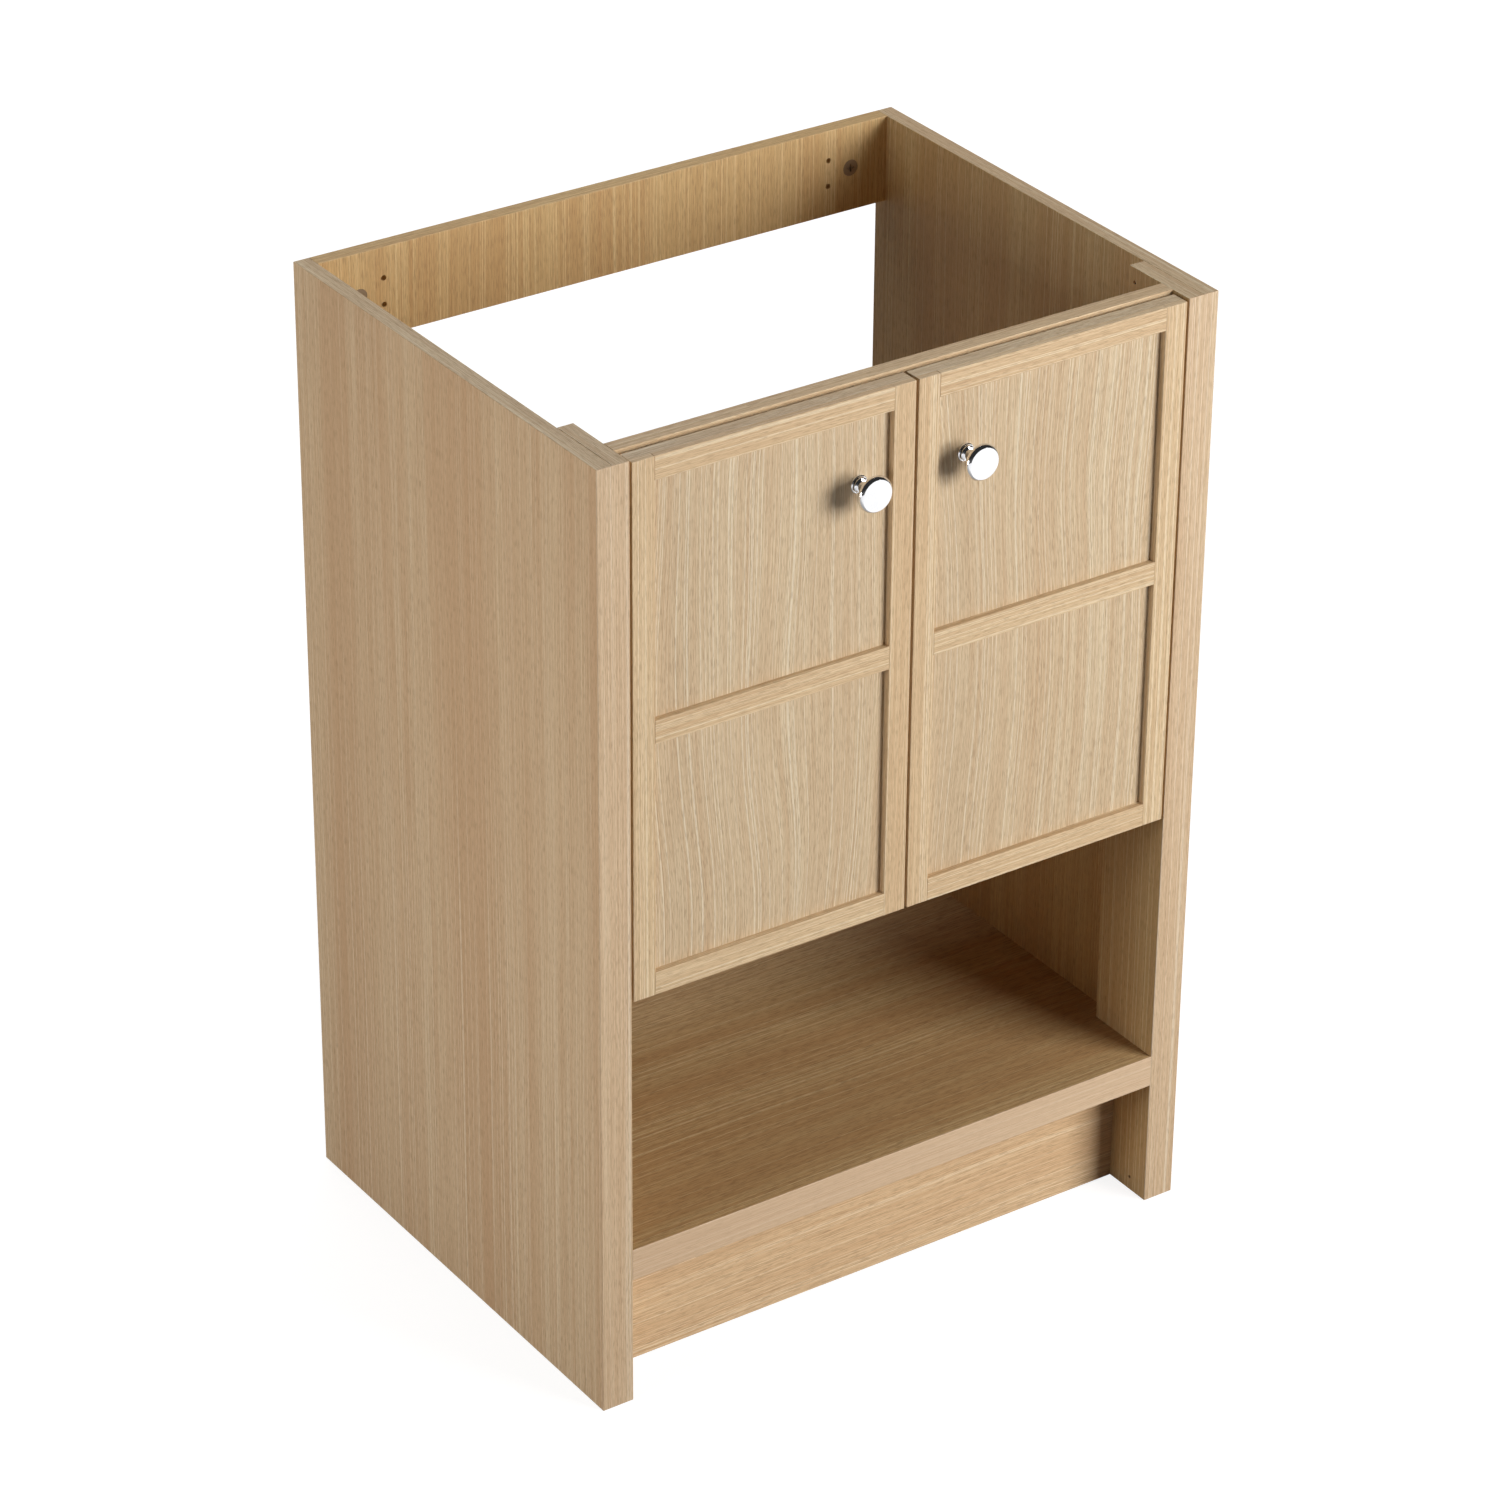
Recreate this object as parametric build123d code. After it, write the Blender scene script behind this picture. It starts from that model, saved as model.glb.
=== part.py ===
from build123d import *
import os

# Vanity unit, all sizes in mm. X runs across the width, Y from the front to the back, Z up from the floor.
# The origin is on the floor, in the middle of the footprint that the carcass and the knobs take up together.

# Carcass
WIDTH = 600.0
DEPTH = 460.0
HEIGHT = 877.0
BOARD = 15.0
EASE = 0.7
EDGE_BAND = 1.0
FILLER_DEPTH = 80.0
RAIL_HEIGHT = 80.0
SHELF_TOP = 151.0
TOE_SETBACK = 50.0
NOTCH_FIT = 0.3
WALL_HOLE_R = 2.5
WALL_HOLE_IN = 61.5
WALL_HOLE_PITCH = 24.0
SAME_PLACE = 0.01

# Joinery
FIT = 0.1
CAM_R = 7.5
CAM_SKIN = 2.5
CAM_SETBACK = 38.0
CAM_CROSS = 7.0
CAM_CROSS_WIDTH = 1.4
CAM_CROSS_DEPTH = 1.5
CAM_DIMPLE_R = 1.5
CAM_DIMPLE_DEPTH = 2.5
BOLT_R = 3.4
THREAD_R = 2.5
THREAD_LENGTH = 9.5
DOWEL_R = 4.0
DOWEL_IN_BOARD = 20.0
DOWEL_IN_PANEL = 9.5
CAM_FROM_END = 70.0
RAIL_DOWEL_OFFSET = 25.0
TOE_DOWEL_OFFSET = 40.0
SCREW_HEAD_R = 3.8
SCREW_HEAD = 2.0
SLOT_LENGTH_TO_HEAD_R = 1.3
SLOT_WIDTH_TO_HEAD_R = 0.26
FILLER_SCREW_R = 1.2
FILLER_SCREW_HEAD_R = 1.6
FILLER_SCREW_SUNK = 3.0
FILLER_SCREW_LENGTH = 23.0
FILLER_SCREW_IN = 13.0
FILLER_SCREW_BACK = 8.0
FILLER_SCREW_FRONT = 22.0

# Doors: a flat slab with applied strips on its face
CUP_DEPTH = 10.3
CUP_SKIN = 1.7
SLAB = CUP_DEPTH + CUP_SKIN
STRIP = 6.0
STRIP_WIDTH = 21.0
DOOR_THICK = SLAB + STRIP
DOOR_HEIGHT = 483.5
DOOR_TOP_GAP = 2.0
DOOR_SIDE_GAP = 2.0
DOOR_MEET_GAP = 2.5
DOOR_BACK_GAP = 4.0
BUMPER_R = 4.5
BUMPER_GAP = 0.3
BUMPER_IN = 12.0
BUMPER_ROUND = 1.5

# Knobs
KNOB_LENGTH = 27.0
KNOB_HEAD_R = 16.0
KNOB_HEAD = 7.0
KNOB_FLANGE_R = 8.0
KNOB_FLANGE = 3.0
KNOB_FLANGE_CHAMFER = 0.6
KNOB_RING_R = 6.9
KNOB_RING = 2.4
KNOB_RING_CHAMFER = 0.5
KNOB_NECK_R = 5.1
KNOB_FLARE = 1.0
KNOB_FLARE_TO_HEAD = 6.5
KNOB_RIM_ROUND = 1.5
KNOB_RIM_RISE = 0.8
KNOB_RIM_SLOPE = 0.22
KNOB_RIM_WIDEST = 0.45
KNOB_FACE_ROUND = 2.0
KNOB_FACE_SLOPE = 0.3
KNOB_FROM_MIDDLE = 52.0
KNOB_FROM_TOP = 79.0
KNOB_SCREW_R = 2.0
KNOB_SCREW_IN = 9.0
KNOB_SCREW_ROOM = 1.0

# Hinges: X is measured from the filler's inner face into the opening, Y from the door's back face to the back
HINGE_FROM_END = 115.0
ARM_PIN_X = 36.02
ARM_PIN_Y = 6.41
CUP_PIN_X = 16.36
CUP_PIN_Y = -5.25
BEND_X = 28.27
BEND_Y = -6.75
PIN_R = 1.25
PIN_FIT = 0.05
PIN_HEAD_R = 1.9
PIN_HEAD = 0.5
EYE_R = 2.6
LINK_HALF = 1.6
LINK_HALF_HEIGHT = 6.0
SIDE_PLAY = 0.45
CHEEK = 2.0
LUG = 2.5
CUP_R = 17.4
CUP_WALL = 0.9
CUP_FLOOR = 1.0
CUP_FROM_EDGE = 22.5
TAB_THICK = 1.2
TAB_HALF_WIDTH = 9.0
TAB_REACH = 30.0
TAB_OVERLAP = 4.0
TAB_SCREW = 24.0
PLATE_THICK = 2.5
PLATE_GAP = 3.0
PLATE_TO_FILLER_BACK = 6.0
PLATE_HALF = 9.0
WING_HALF = 24.0
WING_LENGTH = 14.0
WING_SCREW = 16.0
TOWER_TOP = 11.5
TOWER_SETBACK = 6.0
WEB = 2.0
ARM_OVER_PLATE = 1.0
HINGE_SCREW_R = 1.7
HINGE_SCREW_HEAD_R = 3.3
HINGE_SCREW_HEAD = 1.5
PLATE_SCREW_IN = 11.0
CUP_SCREW_IN = 8.0
ARM_SCREW_IN = 7.0

# Derived places
KNOB_REACH = KNOB_LENGTH - STRIP
FRONT = (KNOB_REACH - DEPTH) / 2
BACK = FRONT + DEPTH
SIDE_IN = WIDTH / 2 - BOARD
OPEN_HALF = SIDE_IN - BOARD
RAIL_FRONT = FRONT + DOOR_THICK + DOOR_BACK_GAP
RAIL_BACK = RAIL_FRONT + BOARD
RAIL_BOTTOM = HEIGHT - RAIL_HEIGHT
RAIL_MIDDLE = HEIGHT - RAIL_HEIGHT / 2
SHELF_BOTTOM = SHELF_TOP - BOARD
SHELF_FRONT_BOTTOM = SHELF_BOTTOM - BOARD
DOOR_TOP = HEIGHT - DOOR_TOP_GAP
DOOR_BOTTOM = DOOR_TOP - DOOR_HEIGHT
DOOR_BACK = FRONT + DOOR_THICK
FLOOR_TOP = DOOR_BOTTOM + BOARD
CAM_DEPTH = BOARD - CAM_SKIN
KNOB_Z = DOOR_TOP - KNOB_FROM_TOP
HINGE_Z = (DOOR_BOTTOM + HINGE_FROM_END, DOOR_TOP - HINGE_FROM_END)

RIGHT_WAY = Vector(1, 0, 0)
BACK_WAY = Vector(0, 1, 0)
UP_WAY = Vector(0, 0, 1)


def block(x, y, z):
    """A plain box between three pairs of limits."""
    middle = [(pair[0] + pair[1]) / 2 for pair in (x, y, z)]
    size = [abs(pair[1] - pair[0]) for pair in (x, y, z)]
    return Pos(*middle) * Box(*size)


def board(x, y, z, sharp=""):
    """A box with eased edges; the edges of the faces named in sharp (l r f b d u) are left square."""
    low = {"l": (0, min(x)), "f": (1, min(y)), "d": (2, min(z))}
    high = {"r": (0, max(x)), "b": (1, max(y)), "u": (2, max(z))}
    faces = low | high
    kept = [faces[name] for name in sharp]
    solid = block(x, y, z)
    eased = []
    for edge in solid.edges():
        place = tuple(edge.center())
        if not any(abs(place[axis] - value) < SAME_PLACE for axis, value in kept):
            eased.append(edge)
    return fillet(eased, EASE)


def rod(start, way, radius, length):
    """A round rod that begins at a point and runs one way."""
    low_end = (Align.CENTER, Align.CENTER, Align.MIN)
    return Plane(origin=start, z_dir=way).location * Cylinder(radius, length, align=low_end)


def prism(points, z):
    """An upright prism over a plan outline, between two heights."""
    face = make_face(Polyline(*points, close=True))
    return Pos(0, 0, z[0]) * extrude(face, z[1] - z[0], dir=(0, 0, 1))


def bar(start, end, half, z):
    """A straight upright bar between two plan points."""
    along = Vector(end[0] - start[0], end[1] - start[1], 0).normalized()
    off = Vector(-along.Y, along.X, 0) * half
    corners = [(start[0] + off.X, start[1] + off.Y), (end[0] + off.X, end[1] + off.Y)]
    corners += [(end[0] - off.X, end[1] - off.Y), (start[0] - off.X, start[1] - off.Y)]
    return prism(corners, z)


def screw(seat, way, shank_r, length, head_r, head):
    """A round-head screw: its head stands on the seat point and its shank runs the given way."""
    shank = rod(seat, way, shank_r, length)
    cap = rod(seat - way * head, way, head_r, head)
    slot = Box(head_r * SLOT_LENGTH_TO_HEAD_R, head_r * SLOT_WIDTH_TO_HEAD_R, head)
    return shank + cap - Plane(origin=seat - way * head, z_dir=way).location * slot


def flipped(solids):
    """The same solids on the other side of the middle plane."""
    return [mirror(solid, about=Plane.YZ) for solid in solids]


nodes = {}
bores = {}


def bore(node, start, way, radius, length):
    """Remember a round hole that is to be cut from a node."""
    bores.setdefault(node, []).append(rod(start, way, radius, length))


# Carcass boards
filler_y = (FRONT + EDGE_BAND, FRONT + FILLER_DEPTH)
for name, side in (("left", -1), ("right", 1)):
    across = (side * SIDE_IN, side * WIDTH / 2)
    nodes[f"{name}_side_panel"] = board(across, (FRONT + EDGE_BAND, BACK), (0, HEIGHT), "f")
    across = (side * OPEN_HALF, side * SIDE_IN)
    nodes[f"{name}_front_filler"] = board(across, filler_y, (0, HEIGHT), "f")
    across = (side * OPEN_HALF, side * WIDTH / 2)
    nodes[f"{name}_front_edge_band"] = board(across, (FRONT, FRONT + EDGE_BAND), (0, HEIGHT), "b")

nodes["top_back_rail"] = board((-SIDE_IN, SIDE_IN), (BACK - BOARD, BACK), (RAIL_BOTTOM, HEIGHT), "lr")
nodes["top_front_rail"] = board((-OPEN_HALF, OPEN_HALF), (RAIL_FRONT, RAIL_BACK), (RAIL_BOTTOM, HEIGHT), "lr")
nodes["toe_kick"] = board(
    (-OPEN_HALF, OPEN_HALF), (FRONT + TOE_SETBACK, FRONT + TOE_SETBACK + BOARD), (0, SHELF_FRONT_BOTTOM), "lru"
)


def notched(front, z, sharp):
    """A full-width level board with its front corners cut out round the fillers."""
    level = board((-SIDE_IN, SIDE_IN), (front, BACK), z, sharp)
    for side in (-1, 1):
        corner = (side * (OPEN_HALF - NOTCH_FIT / 2), side * (SIDE_IN + BOARD))
        level -= block(corner, (front - BOARD, FRONT + FILLER_DEPTH + NOTCH_FIT), z)
    return level


nodes["cabinet_floor"] = notched(RAIL_FRONT, (DOOR_BOTTOM, FLOOR_TOP), "lr")
nodes["bottom_shelf"] = notched(FRONT + EDGE_BAND, (SHELF_BOTTOM, SHELF_TOP), "lrf")
nodes["shelf_front_filler"] = board(
    (-OPEN_HALF, OPEN_HALF), filler_y, (SHELF_FRONT_BOTTOM, SHELF_BOTTOM), "lrfu"
)
nodes["shelf_front_edge_band"] = board(
    (-OPEN_HALF, OPEN_HALF), (FRONT, FRONT + EDGE_BAND), (SHELF_FRONT_BOTTOM, SHELF_TOP), "lrb"
)

# Wall screw holes through the back rail
for side in (-1, 1):
    for step in (-0.5, 0.5):
        start = Vector(side * (SIDE_IN - WALL_HOLE_IN), BACK - BOARD, RAIL_MIDDLE + step * WALL_HOLE_PITCH)
        bore("top_back_rail", start, BACK_WAY, WALL_HOLE_R, BOARD)

# Cam locks, cam bolts and dowels that hold the level boards between the uprights
cams = []
bolts = []
dowels = []


def cam_joint(level, upright, end, out, into):
    """A cam lock sunk into the face of a board, and its bolt through the board's end into an upright."""
    face = end - out * CAM_SETBACK - into * (BOARD / 2)
    bore(level, face, into, CAM_R + FIT, CAM_DEPTH + FIT)
    bore(level, end, out * -1, BOLT_R + FIT, CAM_SETBACK)
    bore(upright, end, out, THREAD_R + FIT, THREAD_LENGTH + FIT)
    cross = Box(CAM_CROSS, CAM_CROSS_WIDTH, 2 * CAM_CROSS_DEPTH)
    cross += Box(CAM_CROSS_WIDTH, CAM_CROSS, 2 * CAM_CROSS_DEPTH)
    recess = cross + Cylinder(CAM_DIMPLE_R, 2 * CAM_DIMPLE_DEPTH)
    cams.append(rod(face, into, CAM_R, CAM_DEPTH) - Plane(origin=face, z_dir=into).location * recess)
    shank = rod(end, out * -1, BOLT_R, CAM_SETBACK - CAM_R - 2 * FIT)
    bolts.append(shank + rod(end, out, THREAD_R, THREAD_LENGTH))


def dowel_joint(level, upright, end, out):
    """A dowel half in the end of a board and half in an upright."""
    bore(level, end, out * -1, DOWEL_R + FIT, DOWEL_IN_BOARD + FIT)
    bore(upright, end, out, DOWEL_R + FIT, DOWEL_IN_PANEL + FIT)
    dowels.append(rod(end - out * DOWEL_IN_BOARD, out, DOWEL_R, DOWEL_IN_BOARD + DOWEL_IN_PANEL))


for name, side in (("left", -1), ("right", 1)):
    out = RIGHT_WAY * side
    panel = f"{name}_side_panel"
    filler = f"{name}_front_filler"
    rail_end = Vector(side * SIDE_IN, BACK - BOARD / 2, RAIL_MIDDLE)
    cam_joint("top_back_rail", panel, rail_end, out, BACK_WAY)
    front_end = Vector(side * OPEN_HALF, RAIL_FRONT + BOARD / 2, RAIL_MIDDLE)
    cam_joint("top_front_rail", filler, front_end, out, BACK_WAY * -1)
    toe_end = Vector(side * OPEN_HALF, FRONT + TOE_SETBACK + BOARD / 2, SHELF_FRONT_BOTTOM / 2)
    cam_joint("toe_kick", filler, toe_end, out, BACK_WAY * -1)
    for step in (-1, 1):
        dowel_joint("top_back_rail", panel, rail_end + UP_WAY * (step * RAIL_DOWEL_OFFSET), out)
        dowel_joint("top_front_rail", filler, front_end + UP_WAY * (step * RAIL_DOWEL_OFFSET), out)
        dowel_joint("toe_kick", filler, toe_end + UP_WAY * (step * TOE_DOWEL_OFFSET), out)
    for level, middle in (("cabinet_floor", FLOOR_TOP - BOARD / 2), ("bottom_shelf", SHELF_TOP - BOARD / 2)):
        first = FRONT + FILLER_DEPTH + CAM_FROM_END
        last = BACK - CAM_FROM_END
        cam_joint(level, panel, Vector(side * SIDE_IN, first, middle), out, UP_WAY)
        cam_joint(level, panel, Vector(side * SIDE_IN, last, middle), out, UP_WAY)
        dowel_joint(level, panel, Vector(side * SIDE_IN, (first + last) / 2, middle), out)

nodes["cam_locks"] = cams
nodes["cam_bolts"] = bolts
nodes["dowels"] = dowels

# Slim screws that hold each filler to its side panel, heads sunk below the filler's inner face
filler_screws = []
filler_screw_places = (
    (FRONT + FILLER_DEPTH - FILLER_SCREW_BACK, HEIGHT - FILLER_SCREW_IN),
    (FRONT + FILLER_DEPTH - FILLER_SCREW_BACK, (DOOR_BOTTOM + DOOR_TOP) / 2),
    (FRONT + FILLER_SCREW_FRONT, FILLER_SCREW_IN),
)
for name, side in (("left", -1), ("right", 1)):
    out = RIGHT_WAY * side
    for y, z in filler_screw_places:
        face = Vector(side * OPEN_HALF, y, z)
        head_in = FILLER_SCREW_SUNK + SCREW_HEAD
        seat = face + out * head_in
        bore(f"{name}_front_filler", face, out, FILLER_SCREW_HEAD_R + FIT, head_in)
        bore(f"{name}_front_filler", face, out, FILLER_SCREW_R + FIT, BOARD)
        tip = FILLER_SCREW_SUNK + FILLER_SCREW_LENGTH - BOARD + FIT
        bore(f"{name}_side_panel", Vector(side * SIDE_IN, y, z), out, FILLER_SCREW_R + FIT, tip)
        shank = FILLER_SCREW_LENGTH - SCREW_HEAD
        filler_screws.append(screw(seat, out, FILLER_SCREW_R, shank, FILLER_SCREW_HEAD_R, SCREW_HEAD))
nodes["filler_screws"] = filler_screws

# Doors, built on the left and mirrored to the right
door_left = -OPEN_HALF + DOOR_SIDE_GAP
door_right = -DOOR_MEET_GAP / 2
panel_left = door_left + STRIP_WIDTH
panel_right = door_right - STRIP_WIDTH
face_y = (FRONT, FRONT + STRIP)
whole = (DOOR_BOTTOM, DOOR_TOP)
slab_front = FRONT + STRIP
slab = board((door_left, door_right), (slab_front, DOOR_BACK), whole, "f")
half_way = (DOOR_BOTTOM + DOOR_TOP) / 2
middle_z = (half_way - STRIP_WIDTH / 2, half_way + STRIP_WIDTH / 2)
door = {
    "hinge_stile": [board((door_left, panel_left), face_y, whole, "b")],
    "meeting_stile": [board((panel_right, door_right), face_y, whole, "b")],
    "top_rail": [board((panel_left, panel_right), face_y, (DOOR_TOP - STRIP_WIDTH, DOOR_TOP), "blr")],
    "middle_rail": [board((panel_left, panel_right), face_y, middle_z, "blr")],
    "bottom_rail": [board((panel_left, panel_right), face_y, (DOOR_BOTTOM, DOOR_BOTTOM + STRIP_WIDTH), "blr")],
}

# Knob, turned about its own line, with its screw from behind the slab
head_back = KNOB_LENGTH - KNOB_HEAD
neck_start = KNOB_FLANGE + KNOB_RING
rim_start = (KNOB_HEAD_R - KNOB_RIM_ROUND, head_back + KNOB_RIM_RISE)
rim_end = (KNOB_HEAD_R - KNOB_FACE_ROUND, KNOB_LENGTH)
outline = Polyline(
    (0, 0),
    (KNOB_FLANGE_R, 0),
    (KNOB_FLANGE_R, KNOB_FLANGE - KNOB_FLANGE_CHAMFER),
    (KNOB_FLANGE_R - KNOB_FLANGE_CHAMFER, KNOB_FLANGE),
    (KNOB_RING_R, KNOB_FLANGE),
    (KNOB_RING_R, neck_start - KNOB_RING_CHAMFER),
    (KNOB_RING_R - KNOB_RING_CHAMFER, neck_start),
    (KNOB_NECK_R, neck_start),
)
flare = Spline(
    (KNOB_NECK_R, neck_start),
    (KNOB_NECK_R + KNOB_FLARE, head_back - KNOB_FLARE_TO_HEAD),
    rim_start,
    tangents=((0, 1), (1, KNOB_RIM_SLOPE)),
)
rim = Spline(
    rim_start,
    (KNOB_HEAD_R, head_back + KNOB_HEAD * KNOB_RIM_WIDEST),
    rim_end,
    tangents=((1, KNOB_RIM_SLOPE), (-1, KNOB_FACE_SLOPE)),
)
crown = Polyline(rim_end, (0, KNOB_LENGTH), (0, 0))
profile = make_face(Curve() + [outline, flare, rim, crown])
turned = revolve(Plane.XZ * profile, Axis.Z)
knob_seat = Vector(-KNOB_FROM_MIDDLE, slab_front, KNOB_Z)
knob = Plane(origin=knob_seat, z_dir=BACK_WAY * -1).location * turned
knob -= rod(knob_seat, BACK_WAY * -1, KNOB_SCREW_R + FIT, KNOB_SCREW_IN + KNOB_SCREW_ROOM)
door["knob"] = [knob]
screw_seat = Vector(-KNOB_FROM_MIDDLE, DOOR_BACK, KNOB_Z)
knob_screw_length = SLAB + KNOB_SCREW_IN
knob_screw = screw(screw_seat, BACK_WAY * -1, KNOB_SCREW_R, knob_screw_length, SCREW_HEAD_R, SCREW_HEAD)
door["knob_screw"] = [knob_screw]
slab -= rod(screw_seat, BACK_WAY * -1, KNOB_SCREW_R + FIT, SLAB)

# Bumpers between the door and the front rail and floor
bumper_length = DOOR_BACK_GAP - BUMPER_GAP
bumpers = []
for z in (DOOR_TOP - BUMPER_IN, DOOR_BOTTOM + BOARD / 2):
    bumper = rod(Vector(door_right - BUMPER_IN, DOOR_BACK, z), BACK_WAY, BUMPER_R, bumper_length)
    bumpers.append(fillet(bumper.edges().sort_by(Axis.Y)[-1], BUMPER_ROUND))
door["bumpers"] = bumpers

# Hinges on the left side
arm_pin = (-OPEN_HALF + ARM_PIN_X, DOOR_BACK + ARM_PIN_Y)
cup_pin = (-OPEN_HALF + CUP_PIN_X, DOOR_BACK + CUP_PIN_Y)
bend = (-OPEN_HALF + BEND_X, DOOR_BACK + BEND_Y)
cup_x = door_left + CUP_FROM_EDGE
plate_front = RAIL_BACK + PLATE_GAP
plate_back = FRONT + FILLER_DEPTH - PLATE_TO_FILLER_BACK
plate_middle = (plate_front + plate_back) / 2
tower_front = plate_front + TOWER_SETBACK
cheek_low = LINK_HALF_HEIGHT + SIDE_PLAY
cheek_high = cheek_low + CHEEK
lug_high = cheek_low + LUG
hinge = {key: [] for key in ("links", "arms", "plates", "cups", "arm_pins", "cup_pins")}
plate_screws = []
arm_screws = []
cup_screws = []


def pin(place, z, half):
    """A headed pin on an upright line, with the heads outside the pieces that hold it."""
    shank = rod(Vector(*place, z - half), UP_WAY, PIN_R, 2 * half)
    low = rod(Vector(*place, z - half - PIN_HEAD), UP_WAY, PIN_HEAD_R, PIN_HEAD)
    high = rod(Vector(*place, z + half), UP_WAY, PIN_HEAD_R, PIN_HEAD)
    return shank + low + high


def pin_hole(place, z):
    """The hole that a pin turns in."""
    return rod(Vector(*place, z - WING_HALF), UP_WAY, PIN_R + PIN_FIT, 2 * WING_HALF)


for z in HINGE_Z:
    # Swing link: two eyes and a bent bar between the pins
    tall = (z - LINK_HALF_HEIGHT, z + LINK_HALF_HEIGHT)
    link = bar(arm_pin, bend, LINK_HALF, tall) + bar(bend, cup_pin, LINK_HALF, tall)
    link += rod(Vector(*bend, tall[0]), UP_WAY, LINK_HALF, 2 * LINK_HALF_HEIGHT)
    for place in (arm_pin, cup_pin):
        link += rod(Vector(*place, tall[0]), UP_WAY, EYE_R, 2 * LINK_HALF_HEIGHT)
    link -= pin_hole(arm_pin, z) + pin_hole(cup_pin, z)
    hinge["links"].append(link)

    # Mounting plate with wings, and the tower that carries the arm
    plate_x = (-OPEN_HALF, -OPEN_HALF + PLATE_THICK)
    plate = block(plate_x, (plate_front, plate_back), (z - PLATE_HALF, z + PLATE_HALF))
    wing_y = (plate_middle - WING_LENGTH / 2, plate_middle + WING_LENGTH / 2)
    plate += block(plate_x, wing_y, (z - WING_HALF, z + WING_HALF))
    plate += block((-OPEN_HALF, -OPEN_HALF + TOWER_TOP), (tower_front, plate_back), tall)

    # Arm: two cheeks and a web over the tower
    web_x = (-OPEN_HALF + TOWER_TOP, -OPEN_HALF + TOWER_TOP + WEB)
    arm = block(web_x, (tower_front, plate_back), (z - cheek_high, z + cheek_high))
    for way in (-1, 1):
        cheek_z = sorted((z + way * cheek_low, z + way * cheek_high))
        root = (-OPEN_HALF + TOWER_TOP - EYE_R, tower_front + EYE_R)
        arm += bar(arm_pin, root, EYE_R, cheek_z)
        arm += rod(Vector(*arm_pin, cheek_z[0]), UP_WAY, EYE_R, CHEEK)
        arm += block((-OPEN_HALF + PLATE_THICK + ARM_OVER_PLATE, web_x[1]), (tower_front, plate_back), cheek_z)
    arm -= pin_hole(arm_pin, z)
    hinge["arm_pins"].append(pin(arm_pin, z, cheek_high))

    # Arm screw through the web into the tower
    seat = Vector(web_x[1], (tower_front + plate_back) / 2, z)
    inward = RIGHT_WAY * -1
    length = WEB + ARM_SCREW_IN
    arm -= rod(seat, inward, HINGE_SCREW_R + FIT, WEB)
    plate -= rod(seat, inward, HINGE_SCREW_R + FIT, length + FIT)
    arm_screws.append(screw(seat, inward, HINGE_SCREW_R, length, HINGE_SCREW_HEAD_R, HINGE_SCREW_HEAD))

    # Plate screws into the filler
    for way in (-1, 1):
        seat = Vector(-OPEN_HALF + PLATE_THICK, plate_middle, z + way * WING_SCREW)
        length = PLATE_THICK + PLATE_SCREW_IN
        plate -= rod(seat, inward, HINGE_SCREW_R + FIT, PLATE_THICK)
        plate_screws.append(screw(seat, inward, HINGE_SCREW_R, length, HINGE_SCREW_HEAD_R, HINGE_SCREW_HEAD))
        for side in (-1, 1):
            start = Vector(side * OPEN_HALF, plate_middle, z + way * WING_SCREW)
            filler = "left_front_filler" if side < 0 else "right_front_filler"
            bore(filler, start, RIGHT_WAY * side, HINGE_SCREW_R + FIT, PLATE_SCREW_IN + FIT)
    hinge["plates"].append(plate)
    hinge["arms"].append(arm)

    # Cup sunk in the slab, with lugs for its pin and two screwed tabs
    mouth = Vector(cup_x, DOOR_BACK, z)
    into = BACK_WAY * -1
    cup_depth = CUP_DEPTH - FIT
    hollow = rod(mouth + BACK_WAY * TAB_THICK, into, CUP_R - CUP_WALL, TAB_THICK + cup_depth - CUP_FLOOR)
    cup = rod(mouth, into, CUP_R, cup_depth)
    tab_x = (cup_x - TAB_HALF_WIDTH, cup_x + TAB_HALF_WIDTH)
    for way in (-1, 1):
        tab_z = sorted((z + way * (CUP_R - TAB_OVERLAP), z + way * TAB_REACH))
        cup += block(tab_x, (DOOR_BACK, DOOR_BACK + TAB_THICK), tab_z)
    cup -= hollow
    for way in (-1, 1):
        lug_z = sorted((z + way * cheek_low, z + way * lug_high))
        floor_y = DOOR_BACK - cup_depth + CUP_FLOOR
        cup += block((cup_pin[0] - EYE_R, cup_pin[0] + EYE_R), (floor_y, cup_pin[1]), lug_z)
        cup += rod(Vector(*cup_pin, lug_z[0]), UP_WAY, EYE_R, LUG)
        seat = Vector(cup_x, DOOR_BACK + TAB_THICK, z + way * TAB_SCREW)
        cup -= rod(seat, into, HINGE_SCREW_R + FIT, TAB_THICK)
        slab -= rod(seat, into, HINGE_SCREW_R + FIT, TAB_THICK + CUP_SCREW_IN + FIT)
        length = TAB_THICK + CUP_SCREW_IN
        cup_screws.append(screw(seat, into, HINGE_SCREW_R, length, HINGE_SCREW_HEAD_R, HINGE_SCREW_HEAD))
    cup -= rod(Vector(*cup_pin, z - lug_high), UP_WAY, PIN_R + PIN_FIT, 2 * lug_high)
    hinge["cups"].append(cup)
    hinge["cup_pins"].append(pin(cup_pin, z, lug_high))
    slab -= rod(mouth, into, CUP_R + FIT, CUP_DEPTH)

door["slab"] = [slab]
door["cup_screws"] = cup_screws

for key, solids in door.items():
    nodes[f"left_door_{key}"] = solids
    nodes[f"right_door_{key}"] = flipped(solids)
for key, solids in hinge.items():
    nodes[f"left_hinge_{key}"] = solids
    nodes[f"right_hinge_{key}"] = flipped(solids)
nodes["hinge_plate_screws"] = plate_screws + flipped(plate_screws)
nodes["hinge_arm_screws"] = arm_screws + flipped(arm_screws)

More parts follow.
